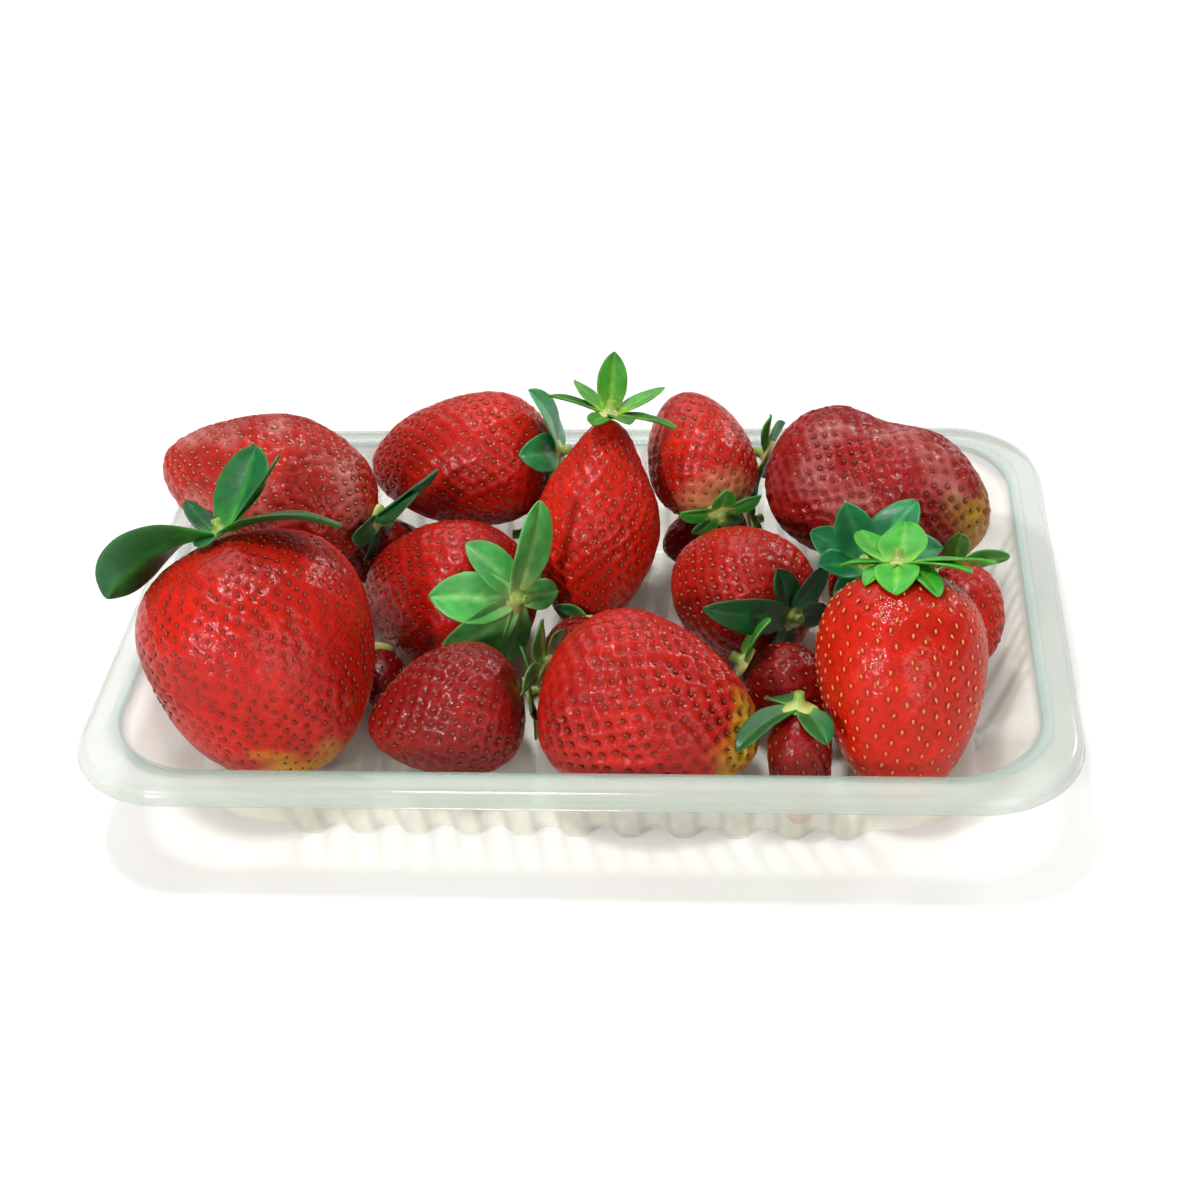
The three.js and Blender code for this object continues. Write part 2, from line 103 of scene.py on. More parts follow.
# The berries, as they lie. Each sepal is [direction, length, width, lift, curl, roll].
BERRIES = {
    "low_left": {
        "along": -57, "across": 61, "heading": 200, "rise": 15, "length": 22, "width": 16,
        "sepals": [[75, 8, 5, 15, -30], [150, 8, 5, 10, -30], [215, 8, 5, 10, -30]],
        "skin": "8E120C", "shade": "5E0C0A",
    },
    "low_centre": {
        "along": -5, "across": 70, "heading": 190, "rise": 5, "length": 26, "width": 18,
        "sepals": [[150, 8, 5, 10, -30], [220, 8, 5, 10, -30], [300, 8, 5, 15, -30]],
        "skin": "8E120C", "shade": "5E0C0A",
    },
    "low_right": {
        "along": 25, "across": 70, "heading": 20, "rise": 8, "length": 20, "width": 16,
        "sepals": [[0, 8, 5, 20, -30], [75, 8, 5, 15, -30], [150, 8, 5, 10, -30], [215, 8, 5, 10, -30],
        [290, 8, 5, 15, -30]],
        "skin": "9A160E", "shade": "640E0C",
    },
    # low_middle and low_between fill dark gaps deep in the heap: their near-black skins and dark leaves are
    # painted shade.
    "low_middle": {
        "along": -4.5, "across": -9, "heading": 70, "rise": 5, "length": 20, "width": 15,
        "sepals": [[75, 8, 5, 20, -30], [150, 8, 5, 25, -30], [290, 8, 5, 15, -30]],
        "skin": "7E0E0A", "shade": "520808", "stub": False, "leaf": "0F4A1E",
    },
    "low_between": {
        "along": -50, "across": -17, "heading": 100, "rise": 10, "length": 14, "width": 11,
        "sepals": [[290, 7, 5, 15, -30]],
        "skin": "7E0E0A", "shade": "520808", "stub": False, "leaf": "0F4A1E",
    },
    "low_corner": {
        "along": 49, "across": -74.5, "heading": 90, "rise": 70, "length": 23, "width": 13,
        "sepals": [[215, 14, 7, 0, -50], [300, 10, 6, 0, -50], [120, 10, 6, 10, -40]],
        "skin": "96120C", "shade": "5E0C0A", "spacing": 2.8, "leaf": "14602A", "vein": "4A9A3E",
    },
    "front_low": {
        "along": -30.5, "across": -52, "heading": 12, "rise": 8, "length": 32, "width": 27, "tip": 0.44,
        "sepals": [[0, 10, 5, 20, -30], [75, 9, 6, 15, -30], [150, 8, 5, 10, -30], [215, 9, 6, 10, -30],
        [290, 10, 5, 15, -30]],
        "skin": "961610", "shade": "560A0C", "pit": 0.6, "spacing": 2.9, "seed": "8A3A1E",
        "leaf": "0F4A1E",
    },
    "front_left": {
        "along": -71.5, "across": -47, "heading": 125, "rise": 60, "length": 50, "width": 46, "tip": 0.56,
        "sepals": [[196, 25, 16.5, 20, -64, 66], [51, 19, 11, 41, 10, 42], [9, 18, 4.5, 33, 8],
        [340, 27, 13, 12, -45, -20], [141, 10, 5, 40, 20], [262, 8, 6, 7, -25]],
        "skin": "BC1A08", "shade": "8A0E06", "pit": 0.46, "spacing": 2.7, "seed": "7A2A14",
        "unripe": 0.6, "leaf": "0A5526", "vein": "46A038",
    },
    "front_middle": {
        "along": 16.5, "across": -58, "heading": 163, "rise": 12, "length": 44, "width": 35,
        "flat": 1.1,
        "sepals": [[0, 11, 6, 25, -30], [75, 9, 6, 15, -30], [290, 11, 6, 15, -30]],
        "skin": "B81C10", "shade": "7C100C", "pit": 1.1, "spacing": 3.0, "seed": "7E2E18",
        "unripe": 0.85, "stub": False, "leaf": "14502A",
    },
    "low_front": {
        "along": 49, "across": -32, "heading": 170, "rise": 30, "length": 24, "width": 18,
        "sepals": [[0, 11, 6, 20, -30], [75, 11, 6, 15, -30], [150, 8, 5, 10, -30]],
        "skin": "8C100C", "shade": "580808", "leaf": "2C7A2C",
    },
    "far_right": {
        "along": 87.5, "across": -4, "heading": 100, "rise": 20, "length": 22, "width": 17,
        "sepals": [[0, 10, 5, 20, -30], [75, 10, 6, 15, -30], [150, 9, 5, 10, -30]],
        "skin": "C22010", "shade": "86120A", "leaf": "2A7A2A",
    },
    "middle_right": {
        "along": 34, "across": 20, "heading": -50, "rise": 11, "length": 35, "width": 29,
        "sepals": [[62, 25, 7, 35, -60], [15, 12, 6, 25, -30], [330, 12, 6, 35, -20], [150, 9, 5, 5, -40],
        [250, 9, 5, 10, -30]],
        "skin": "B41E12", "shade": "7A100C", "pit": 0.6, "spacing": 2.8, "seed": "B4643A",
        "leaf": "0F4420", "vein": "2A7C46",
    },
    "behind_right": {
        "along": 67.5, "across": 19, "heading": -110, "rise": 58, "length": 28, "width": 20,
        "sepals": [[2, 15, 9, 25, -20], [48, 15, 9, 20, -20], [104, 15, 8, 75, -20], [154, 12, 7, 45, -20],
        [205, 12, 7, 60, -20], [257, 14, 8, 35, -20], [313, 15, 9, 30, -20]],
        "skin": "A8140A", "shade": "780E08", "leaf": "127040", "vein": "58B068",
    },
    "front_right": {
        "along": 71, "across": -53, "heading": 92, "rise": 58, "length": 45, "width": 33,
        "sepals": [[265, 13, 8, 5, -55], [232, 10, 5, 5, -50], [330, 14, 7, 10, -30], [302, 13, 6, 0, -50],
        [80, 13, 9, 30, 10], [122, 13, 8, 25, 5], [358, 17, 7, 10, -20], [188, 10, 6, 15, -30]],
        "skin": "C81E06", "shade": "A41404", "pit": 0.18, "spacing": 3.2, "seed": "DC7A3A",
        "leaf": "2C9A20", "vein": "90D048",
    },
    "middle_left": {
        "along": -36.5, "across": 13, "heading": -32, "rise": 18, "length": 41, "width": 32,
        "sepals": [[15, 15, 8, 10, -55], [60, 18, 10, 0, -60], [105, 19, 10, 0, -60], [160, 15, 8, 0, -50],
        [335, 20, 10, 35, -30], [250, 10, 6, 20, -30]],
        "skin": "BA180A", "shade": "820E08", "pit": 0.45, "spacing": 2.8, "seed": "8E3C1C",
        "leaf": "3A9440", "vein": "A8DC84",
    },
    "centre": {
        "along": -0.5, "across": 37, "heading": 68, "rise": 67, "length": 48, "width": 27.5,
        "widest": 0.5, "shoulder": 0.35, "tip": 0.4,
        "sepals": [[100, 13, 6, 65, 0], [180, 12, 5, 20, -20], [150, 10, 5, 30, 0], [30, 12, 6, 30, 0],
        [350, 13, 6, 10, -25], [300, 8, 5, 10, -20], [250, 7, 5, 0, -20]],
        "skin": "C41E0A", "shade": "94120A", "pit": 0.55, "spacing": 2.8, "seed": "9C4420",
        "leaf": "2C7E18", "vein": "8FBE2C", "neck": 0.17,
    },
    "back_centre": {
        "along": 24, "across": 71, "heading": -70, "rise": -25, "length": 30, "width": 24,
        "sepals": [[0, 8, 5, 20, -30], [75, 8, 5, 15, -30], [150, 8, 5, 10, -30], [215, 8, 5, 10, -30],
        [290, 8, 5, 15, -30]],
        "skin": "C01E0E", "shade": "8A100A", "pit": 0.45, "spacing": 2.8, "pale_shoulder": 0.7,
    },
    "back_left": {
        "along": -81.5, "across": 44, "heading": -15, "rise": -8, "length": 50, "width": 33,
        "widest": 0.42, "tip": 0.42, "bumps": [[0, 0.45, 45, 0.16, 0.1]],
        "sepals": [[10, 13, 8, 50, -10], [330, 16, 9, 45, -10], [80, 10, 6, 10, -30], [150, 8, 5, 10, -30],
        [240, 9, 6, 15, -30]],
        "skin": "B4281A", "shade": "7E1410", "pit": 0.85, "spacing": 2.7, "seed": "B87850",
        "pale_sheen": 0.45, "leaf": "0E4A26", "vein": "2E7A3A",
    },
    "back_middle": {
        "along": -36, "across": 75, "heading": -3, "rise": 8, "length": 42, "width": 30,
        "sepals": [[5, 16, 9, 15, -50], [60, 14, 8, 5, -55], [120, 10, 6, 5, -40], [200, 8, 5, 5, -30],
        [290, 11, 6, 10, -40]],
        "skin": "BC1C0A", "shade": "861008", "pit": 0.55, "spacing": 2.8, "seed": "A04A24",
        "leaf": "1E8A48", "vein": "7CC88A",
    },
    "back_right": {
        "along": 68.4, "across": 65, "heading": 161, "rise": 10, "length": 50, "width": 33,
        "bumps": [[0, 0.42, 50, 0.1, -0.1], [0, 0.72, 60, 0.16, 0.14]], "tip": 0.62,
        "sepals": [[0, 9, 5, 20, -30], [75, 9, 6, 15, -30], [150, 8, 5, 10, -30], [215, 9, 6, 10, -30]],
        "skin": "9C1812", "shade": "640C0C", "pit": 0.9, "spacing": 2.7, "seed": "7E3420",
        "unripe": 0.6, "pale_sheen": 0.25,
    },
}

# ---- Small helpers ---------------------------------------------------------------------------


def colour(code):
    """An sRGB hex code as linear red, green, blue and alpha."""
    parts = [int(code[i : i + 2], 16) / 255 for i in (0, 2, 4)]
    return (*[p / 12.92 if p <= 0.04045 else ((p + 0.055) / 1.055) ** 2.4 for p in parts], 1.0)


def node(tree, kind, settings=None, **links):
    """Adds a shader node, sets its inputs and attributes, and links what comes from other nodes."""
    made = tree.nodes.new(kind)
    for key, value in (settings or {}).items():
        if key in made.inputs:
            made.inputs[key].default_value = value
        else:
            setattr(made, key, value)
    for key, source in links.items():
        tree.links.new(source, made.inputs[key.replace("_", " ")])
    return made


def material(name, settings):
    """A new material with a Principled shader, and its tree."""
    made = bpy.data.materials.new(name)
    made.use_nodes = True
    shader = made.node_tree.nodes["Principled BSDF"]
    for key, value in settings.items():
        shader.inputs[key].default_value = value
    return made, made.node_tree, shader


def mesh_object(name, points, faces, material_made, smooth=True):
    """A new object at the origin from points in millimetres."""
    mesh = bpy.data.meshes.new(name)
    mesh.from_pydata([tuple(p) for p in np.asarray(points) * MM], [], [tuple(f) for f in faces])
    mesh.polygons.foreach_set("use_smooth", [smooth] * len(mesh.polygons))
    mesh.materials.append(material_made)
    made = bpy.data.objects.new(name, mesh)
    bpy.context.scene.collection.objects.link(made)
    return made


def painted(piece, name, colours):
    """Stores a colour for each point of the piece, which its material reads by name."""
    attribute = piece.data.color_attributes.new(name, "FLOAT_COLOR", "POINT")
    attribute.data.foreach_set("color", np.asarray(colours).astype(np.float32).ravel())


def with_alpha(colours):
    return np.column_stack([np.array(colours), np.ones(len(colours))])


def belongs(piece, slot, *nodes):
    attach(piece, "root")
    if nodes:
        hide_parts(*nodes)


# ---- Materials -------------------------------------------------------------------------------


def strawberry_skin():
    """Ripe strawberry: wet-looking waxy skin over soft red flesh. The colour comes with the mesh."""
    made, tree, shader = material(
        "strawberry_skin",
        {
            "Roughness": 0.42,
            "Specular IOR Level": 0.1,
            "Coat Weight": 0.36,
            "Coat Roughness": 0.08,
            "Subsurface Weight": 0.05,
            "Subsurface Scale": 0.002,
            "Subsurface Radius": (1.0, 0.25, 0.12),
        },
    )
    skin = node(tree, "ShaderNodeAttribute", {"attribute_name": "skin"})
    place = node(tree, "ShaderNodeTexCoord")
    # Mottling of the flesh under the skin, a few millimetres across.
    mottle = node(tree, "ShaderNodeTexNoise", {"Scale": 260.0, "Detail": 3.0}, Vector=place.outputs["Object"])
    spread = {"From Min": 0.3, "From Max": 0.7, "To Min": 0.82, "To Max": 1.12}
    level = node(tree, "ShaderNodeMapRange", spread)
    tree.links.new(mottle.outputs["Fac"], level.inputs["Value"])
    mix = node(tree, "ShaderNodeMix", {"data_type": "RGBA", "blend_type": "MULTIPLY"})
    mix.inputs["Factor"].default_value = 1.0
    tree.links.new(skin.outputs["Color"], mix.inputs[6])
    tree.links.new(level.outputs["Result"], mix.inputs[7])
    tree.links.new(mix.outputs[2], shader.inputs["Base Color"])
    # The skin's own fine unevenness, well under a millimetre.
    grain = node(tree, "ShaderNodeTexNoise", {"Scale": 900.0, "Detail": 3.0}, Vector=place.outputs["Object"])
    bump = node(tree, "ShaderNodeBump", {"Strength": 0.75, "Distance": 0.0004}, Height=grain.outputs["Fac"])
    tree.links.new(bump.outputs["Normal"], shader.inputs["Normal"])
    tree.links.new(bump.outputs["Normal"], shader.inputs["Coat Normal"])
    return made


def achene(code):
    """A strawberry's seed: a dry, slightly shiny little nut."""
    made, _, _ = material(
        "strawberry_seed_" + code, {"Base Color": colour(code), "Roughness": 0.35, "Coat Weight": 0.3}
    )
    return made


def sepal_leaf():
    """Fresh strawberry sepal: satin green leaf, paler at its root, with lengthwise veins."""
    made, tree, shader = material(
        "strawberry_sepal",
        {"Roughness": 0.4, "Specular IOR Level": 0.4, "Coat Weight": 0.12, "Coat Roughness": 0.2},
    )
    leaf = node(tree, "ShaderNodeAttribute", {"attribute_name": "leaf"})
    place = node(tree, "ShaderNodeTexCoord")
    blotch = node(tree, "ShaderNodeTexNoise", {"Scale": 300.0, "Detail": 4.0}, Vector=place.outputs["Object"])
    spread = {"From Min": 0.3, "From Max": 0.7, "To Min": 0.75, "To Max": 1.2}
    level = node(tree, "ShaderNodeMapRange", spread)
    tree.links.new(blotch.outputs["Fac"], level.inputs["Value"])
    mix = node(tree, "ShaderNodeMix", {"data_type": "RGBA", "blend_type": "MULTIPLY"})
    mix.inputs["Factor"].default_value = 1.0
    tree.links.new(leaf.outputs["Color"], mix.inputs[6])
    tree.links.new(level.outputs["Result"], mix.inputs[7])
    tree.links.new(mix.outputs[2], shader.inputs["Base Color"])
    grain = node(tree, "ShaderNodeTexNoise", {"Scale": 1100.0, "Detail": 3.0}, Vector=place.outputs["Object"])
    bump = node(tree, "ShaderNodeBump", {"Strength": 0.3, "Distance": 0.0002}, Height=grain.outputs["Fac"])
    tree.links.new(bump.outputs["Normal"], shader.inputs["Normal"])
    return made


def clear_pet():
    """Clear thermoformed PET sheet: glossy, thin and see-through, with a faint cool tint."""
    made, tree, shader = material(
        "clear_pet_sheet",
        {
            "Base Color": colour("D3DBD0"),
            "Roughness": 0.1,
            "IOR": 1.5,
            "Alpha": 0.2,
            "Specular IOR Level": 0.6,
        },
    )
    # The paint gives the sheet's colour in red, green and blue, and in alpha how much the sheet veils what
    # lies behind it;
    # at the bend, the flange, the lip and the rib flanks it holds painted shade and a painted reflection.
    sheet = node(tree, "ShaderNodeAttribute", {"attribute_name": "sheet"})
    tree.links.new(sheet.outputs["Color"], shader.inputs["Base Color"])
    tree.links.new(sheet.outputs["Alpha"], shader.inputs["Alpha"])
    return made


# ---- Berries ---------------------------------------------------------------------------------


NECK_AT = 0.12
NECK_SPREAD = 0.16
SKIN_SINK = 0.22


def bezier(points, share):
    a, b, c, d = [np.array(p, float) for p in points]
    t = share[:, None]
    return a * (1 - t) ** 3 + 3 * b * t * (1 - t) ** 2 + 3 * c * t**2 * (1 - t) + d * t**3


def outline(shape, flank_steps, crown_steps):
    """The berry's outline as rows of radius and height, from its tip to its stem end."""
    half = shape["width"] / 2
    top = shape["length"] / 2
    waist = top - shape["length"] * shape["widest"]
    tip, shoulder = shape["tip"], shape["shoulder"]
    flank = [(0, -top), (half * tip, -top), (half, waist - (waist + top) * tip), (half, waist)]
    crown_width = half * (0.35 + 0.5 * shoulder)
    crown = [(half, waist), (half, waist + (top - waist) * shoulder), (crown_width, top), (0, top)]
    lower = bezier(flank, np.linspace(0, 1, flank_steps + 1))
    upper = bezier(crown, np.linspace(0, 1, crown_steps + 1))
    return np.vstack([lower, upper[1:]])


def shape_berry(points, shape):
    """Waves, bumps, flattens and bends round points into the berry's own shape."""
    x, y, z = points.T
    angle = np.degrees(np.arctan2(y, x))
    down = 0.5 - z / shape["length"]
    swell = 1 + 0.02 * np.cos(np.radians(3 * angle))
    for direction, at, spread_round, spread_along, height in shape["bumps"]:
        away = (angle - direction + 180) % 360 - 180
        swell += height * np.exp(-((away / spread_round) ** 2) - ((down - at) / spread_along) ** 2)
    bent = x * swell + shape["bend"] * shape["width"] * down**2
    return np.column_stack([bent, y * swell * shape["flat"], z])


def draw_in_neck(points, shape):
    """Narrows the berry just under its cap."""
    down = 0.5 - points[:, 2] / shape["length"]
    points[:, :2] *= (1 - shape["neck"] * np.exp(-(((down - NECK_AT) / NECK_SPREAD) ** 2)))[:, None]


def berry_axes(shape):
    """The berry's own axes as the columns of a matrix: +Z runs to its stem end."""
    h, r = math.radians(shape["heading"]), math.radians(shape["rise"])
    stem = Vector((math.cos(r) * math.cos(h), math.cos(r) * math.sin(h), math.sin(r)))
    guide = Vector((1, 0, 0)) if abs(stem.z) > 0.8 else Vector((0, 0, 1))
    side = (guide - stem * guide.dot(stem)).normalized()
    side = Matrix.Rotation(math.radians(shape["turn"]), 3, stem) @ side
    return np.array([side, stem.cross(side), stem]).T


def berry_place(name, shape):
    """Where the berry's middle lies: its coarse solid's box against the frame's box of it."""
    rows = outline(shape, 6, 5)
    turns = np.radians(np.arange(16) * 22.5)
    coarse = [(r * math.sin(t), -r * math.cos(t), z) for r, z in rows for t in turns]
    turned = shape_berry(np.array(coarse), shape) @ berry_axes(shape).T
    low, high = (np.array(corner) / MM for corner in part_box("berry_" + name))
    return (low + high) / 2 - (turned.min(0) + turned.max(0)) / 2


def noise_field(points, size, seed, count=24):
    """Smooth hand-made noise from -1 to 1: a sum of waves about size millimetres long."""
    waves = np.random.default_rng(seed)
    total = np.zeros(len(points))
    for _ in range(count):
        way = waves.normal(size=3)
        way /= np.linalg.norm(way)
        length = size * waves.uniform(0.7, 1.6)
        total += np.sin(points @ way * 2 * math.pi / length + waves.uniform(0, 2 * math.pi))
    return total / math.sqrt(count / 2) / 2


def seed_spots(rows, spacing):
    """Seeds in the spiral order that strawberries grow them in, as row position and direction."""
    step = np.hypot(*np.diff(rows, axis=0).T)
    middle = (rows[1:, 0] + rows[:-1, 0]) / 2
    area = np.concatenate([[0], np.cumsum(2 * math.pi * middle * step)])
    count = int(area[-1] / (spacing**2 * 0.9))
    wanted = (np.arange(count) + 0.6) / count * area[-1]
    position = np.interp(wanted, area, np.arange(len(rows)))
    turn = np.radians(137.508) * np.arange(count)
    return position, turn


def on_outline(rows, position, turn):
    radius = np.interp(position, np.arange(len(rows)), rows[:, 0])
    height = np.interp(position, np.arange(len(rows)), rows[:, 1])
    return np.column_stack([radius * np.cos(turn), radius * np.sin(turn), height])


def make_berry(name, shape, order):
    rows = outline(shape, 120, 80)
    length = np.concatenate([[0], np.cumsum(np.hypot(*np.diff(rows, axis=0).T))])
    axes, middle = berry_axes(shape), berry_place(name, shape)

    # A ball whose points slide onto the outline, so that the skin's faces stay even.
    bpy.ops.mesh.primitive_ico_sphere_add(subdivisions=6, radius=1)
    ball = bpy.context.object
    ball.name = ball.data.name = "strawberry_" + name
    mesh = ball.data
    unit = np.empty(len(mesh.vertices) * 3, np.float32)
    mesh.vertices.foreach_get("co", unit)
    unit = unit.reshape(-1, 3).astype(float)
    polar = np.arccos(np.clip(-unit[:, 2], -1, 1)) / math.pi
    position = np.interp(polar * length[-1], length, np.arange(len(rows)))
    turn = np.arctan2(unit[:, 1], unit[:, 0])
    skin = shape_berry(on_outline(rows, position, turn), shape)

    draw_in_neck(skin, shape)

    # Seeds sit a little unevenly, and each lies in a pit of its own.
    spot_position, spot_turn = seed_spots(rows, shape["spacing"])
    jitter = np.random.default_rng(100 + order)
    spot_turn = spot_turn + jitter.normal(0, 0.03, len(spot_turn))
    spots = shape_berry(on_outline(rows, spot_position, spot_turn), shape)
    draw_in_neck(spots, shape)
    tree = KDTree(len(spots))
    for index, spot in enumerate(spots):
        tree.insert(spot, index)
    tree.balance()
    near = np.array([[found[2] for found in tree.find_n(point, 2)] for point in skin])
    reach = shape["spacing"] * 0.62
    inside = np.clip(near[:, 0] / reach, 0, 1)
    pit = 1 - inside**2 * (3 - 2 * inside)
    ridge = np.clip(1 - (near[:, 1] - near[:, 0]) / (0.5 * shape["spacing"]), 0, 1)

    # The pits fade out round the stem end, and the berry as a whole is a little uneven.
    from_stem = np.hypot(skin[:, 0], skin[:, 1])
    at_stem = skin[:, 2] > 0
    fade = np.where(at_stem, np.clip((from_stem - 2.0) / 4.0, 0, 1), 1)
    depth = shape["pit"] * (0.8 + 0.35 * noise_field(skin, 16, 7 * order + 1)) * fade
    sunk = SKIN_SINK + depth * pit + 0.1 * depth * (1 - ridge)
    sunk += 0.35 * np.clip(noise_field(skin, 15, 7 * order + 2), 0, 1)
    flat_normal = np.column_stack([skin[:, 0], skin[:, 1] / shape["flat"], np.zeros(len(skin))])
    rise = np.interp(position, np.arange(len(rows)), np.gradient(rows[:, 1]))
    run = np.interp(position, np.arange(len(rows)), np.gradient(rows[:, 0]))
    size = np.hypot(rise, run) + 1e-9
    level = flat_normal[:, :2] / (np.linalg.norm(flat_normal[:, :2], axis=1)[:, None] + 1e-9)
    normal = np.column_stack([level * (rise / size)[:, None], -run / size])
    skin = skin - normal * sunk[:, None]

    placed = (skin @ axes.T + middle) * MM
    mesh.vertices.foreach_set("co", placed.astype(np.float32).ravel())
    mesh.polygons.foreach_set("use_smooth", [True] * len(mesh.polygons))
    mesh.update()

    # Skin colour: darker in blotches, with painted shade in the pits and a painted pale sheen on some ridges,
    # paler by the cap, unripe by the tip.
    down = 0.5 - skin[:, 2] / shape["length"]
    red, dark = np.array(colour(shape["skin"])[:3]), np.array(colour(shape["shade"])[:3])
    blotch = np.clip(0.5 + 0.5 * noise_field(skin, 22, 7 * order + 3), 0, 1)[:, None]
    paint = red * (1 - 0.55 * blotch) + dark * 0.55 * blotch
    # Painted shade: the skin is darkened in each pit, most at its middle.
    paint = paint * (1 - 0.55 * (pit**3)[:, None])
    # Painted sheen: a pale pink laid on the ridges between the pits, standing for light caught there.
    painted_sheen = np.clip(noise_field(skin, 12, 7 * order + 6) - 0.1, 0, 1) * shape["pale_sheen"] * (1 - pit)
    paint = paint * (1 - painted_sheen[:, None]) + np.array(colour("D8A8A0")[:3]) * painted_sheen[:, None]
    pale = np.array(colour("E8A878")[:3])
    by_cap = np.clip(1 - down / 0.16, 0, 1) * shape["pale_shoulder"]
    by_cap = np.clip(by_cap + 0.15 * by_cap * noise_field(skin, 5, 7 * order + 4), 0, 0.9)[:, None]
    paint = paint * (1 - by_cap) + pale * by_cap
    green = np.array(colour("C2A62C")[:3])
    low_side = -(skin @ axes.T)[:, 2] / shape["width"]
    patch = (down - 0.92 + 0.12 * shape["unripe"]) * 6
    patch = patch + 0.5 * noise_field(skin, 8, 7 * order + 5) + 0.4 * low_side
    patch = (np.clip(patch, 0, 1) * shape["unripe"])[:, None]
    paint = paint * (1 - patch) + green * patch
    painted(ball, "skin", with_alpha(paint))
    mesh.materials.clear()
    mesh.materials.append(SKIN)
    belongs(ball, "berry_flesh", "berry_" + name)

    make_seeds(name, shape, spots, spot_position, rows, axes, middle, order)


def make_seeds(name, shape, spots, position, rows, axes, middle, order):
    """One little nut in each pit, long way towards the tip."""
    chance = np.random.default_rng(500 + order)
    slopes = np.gradient(rows[:, 0]), np.gradient(rows[:, 1])
    ring = [(math.cos(a), math.sin(a)) for a in np.radians(np.arange(6) * 60)]
    points, faces = [], []
    for spot, at in zip(spots, position):
        if spot[2] > 0 and math.hypot(spot[0], spot[1]) < 4.5:
            continue
        run = np.interp(at, np.arange(len(rows)), slopes[0])
        rise = np.interp(at, np.arange(len(rows)), slopes[1])
        out = np.array([spot[0], spot[1], 0.0]) / (math.hypot(spot[0], spot[1]) + 1e-9)
        along = out * run + np.array([0, 0, rise])
        along /= np.linalg.norm(along) + 1e-9
        normal = out * rise - np.array([0, 0, run])
        normal /= np.linalg.norm(normal) + 1e-9
        across = np.cross(normal, along)
        lean = chance.normal(0, 0.25)
        along, across = (
            along * math.cos(lean) + across * math.sin(lean),
            across * math.cos(lean) - along * math.sin(lean),
        )
        length, wide = chance.uniform(0.5, 0.68), chance.uniform(0.3, 0.4)
        centre = spot - normal * (SKIN_SINK + shape["pit"] * 0.85)
        base = len(points)
        points.append(centre + normal * 0.28)
        for cosine, sine in ring:
            narrow = 0.75 if cosine < -0.4 else 1.0
            points.append(centre + along * length * cosine + across * wide * sine * narrow + normal * 0.08)
        points.append(centre - normal * 0.3)
        for i in range(6):
            j = (i + 1) % 6
            faces.append((base, base + 1 + i, base + 1 + j))
            faces.append((base + 7, base + 1 + j, base + 1 + i))
    points = np.array(points) @ axes.T + middle
    seeds = mesh_object("seeds_" + name, points, faces, SEEDS[shape["seed"]])
    belongs(seeds, "berry_flesh")


# ---- Sepals and stem stubs -------------------------------------------------------------------

LEAF_ROWS = 14
LEAF_COLUMNS = 8


def sepal_width(share):
    """Half width of a sepal along it, as a share of its greatest half width."""
    return np.interp(share, [0, 0.12, 0.36, 0.6, 0.8, 0.93, 1], [0.5, 0.72, 1.08, 1.08, 0.8, 0.42, 0.03])


def sepal_surface(sepal, cap_height, shape, chance):
    """Grid of points over one sepal in the berry's frame, with its paint."""
    direction, length, width, lift, curl, *rest = sepal
    roll = math.radians(rest[0]) if rest else 0
    shares = np.linspace(0, 1, LEAF_ROWS)
    points, paint = [], []
    out, up, last = CAP_RADIUS * 0.3, cap_height + LEAF_THICKNESS * 0.5, 0
    fold = chance.uniform(0.1, 0.24)
    wave, phase = chance.uniform(0.02, 0.06), chance.uniform(0, 6.28)
    rich, light = np.array(colour(shape["leaf"])[:3]), np.array(colour(shape["vein"])[:3])
    tone = chance.uniform(0.75, 1.25)
    for share in shares:
        angle = math.radians(lift + curl * (share + last) / 2)
        step = (length + CAP_RADIUS * 0.15) * (share - last)
        out += step * math.cos(angle)
        up += step * math.sin(angle)
        last = share
        angle = math.radians(lift + curl * share)
        above = np.array([-math.sin(angle), 0, math.cos(angle)])
        aside = np.array([0, math.cos(roll * share), 0]) + above * math.sin(roll * share)
        over = above * math.cos(roll * share) - np.array([0, math.sin(roll * share), 0])
        half = width / 2 * float(sepal_width(share))
        for column in np.linspace(-1, 1, LEAF_COLUMNS + 1):
            dish = fold * half * (abs(column) ** 1.4 - 0.35)
            ripple = wave * width * math.sin(9 * share + phase + 2.2 * column) * abs(column) * share
            vein = 0.035 * width * math.exp(-((column / 0.12) ** 2))
            points.append(np.array([out, 0, up]) + aside * half * column + over * (dish + ripple - vein))
            base = math.exp(-((share / 0.2) ** 2)) * 0.85
            rib = 0.45 * math.exp(-((column / 0.1) ** 2)) * (1 - 0.6 * share)
            side = 0.16 * max(0, math.cos(abs(column) * 14 - share * 26)) * (1 - abs(column))
            edge = 0.15 * abs(column) ** 6
            pale = min(1, base + rib + side + edge)
            paint.append((rich * (1 - pale) + light * pale) * tone)
    turn = math.radians(direction)
    spin = np.array([[math.cos(turn), -math.sin(turn), 0], [math.sin(turn), math.cos(turn), 0], [0, 0, 1]])
    return np.array(points) @ spin.T, np.array(paint)


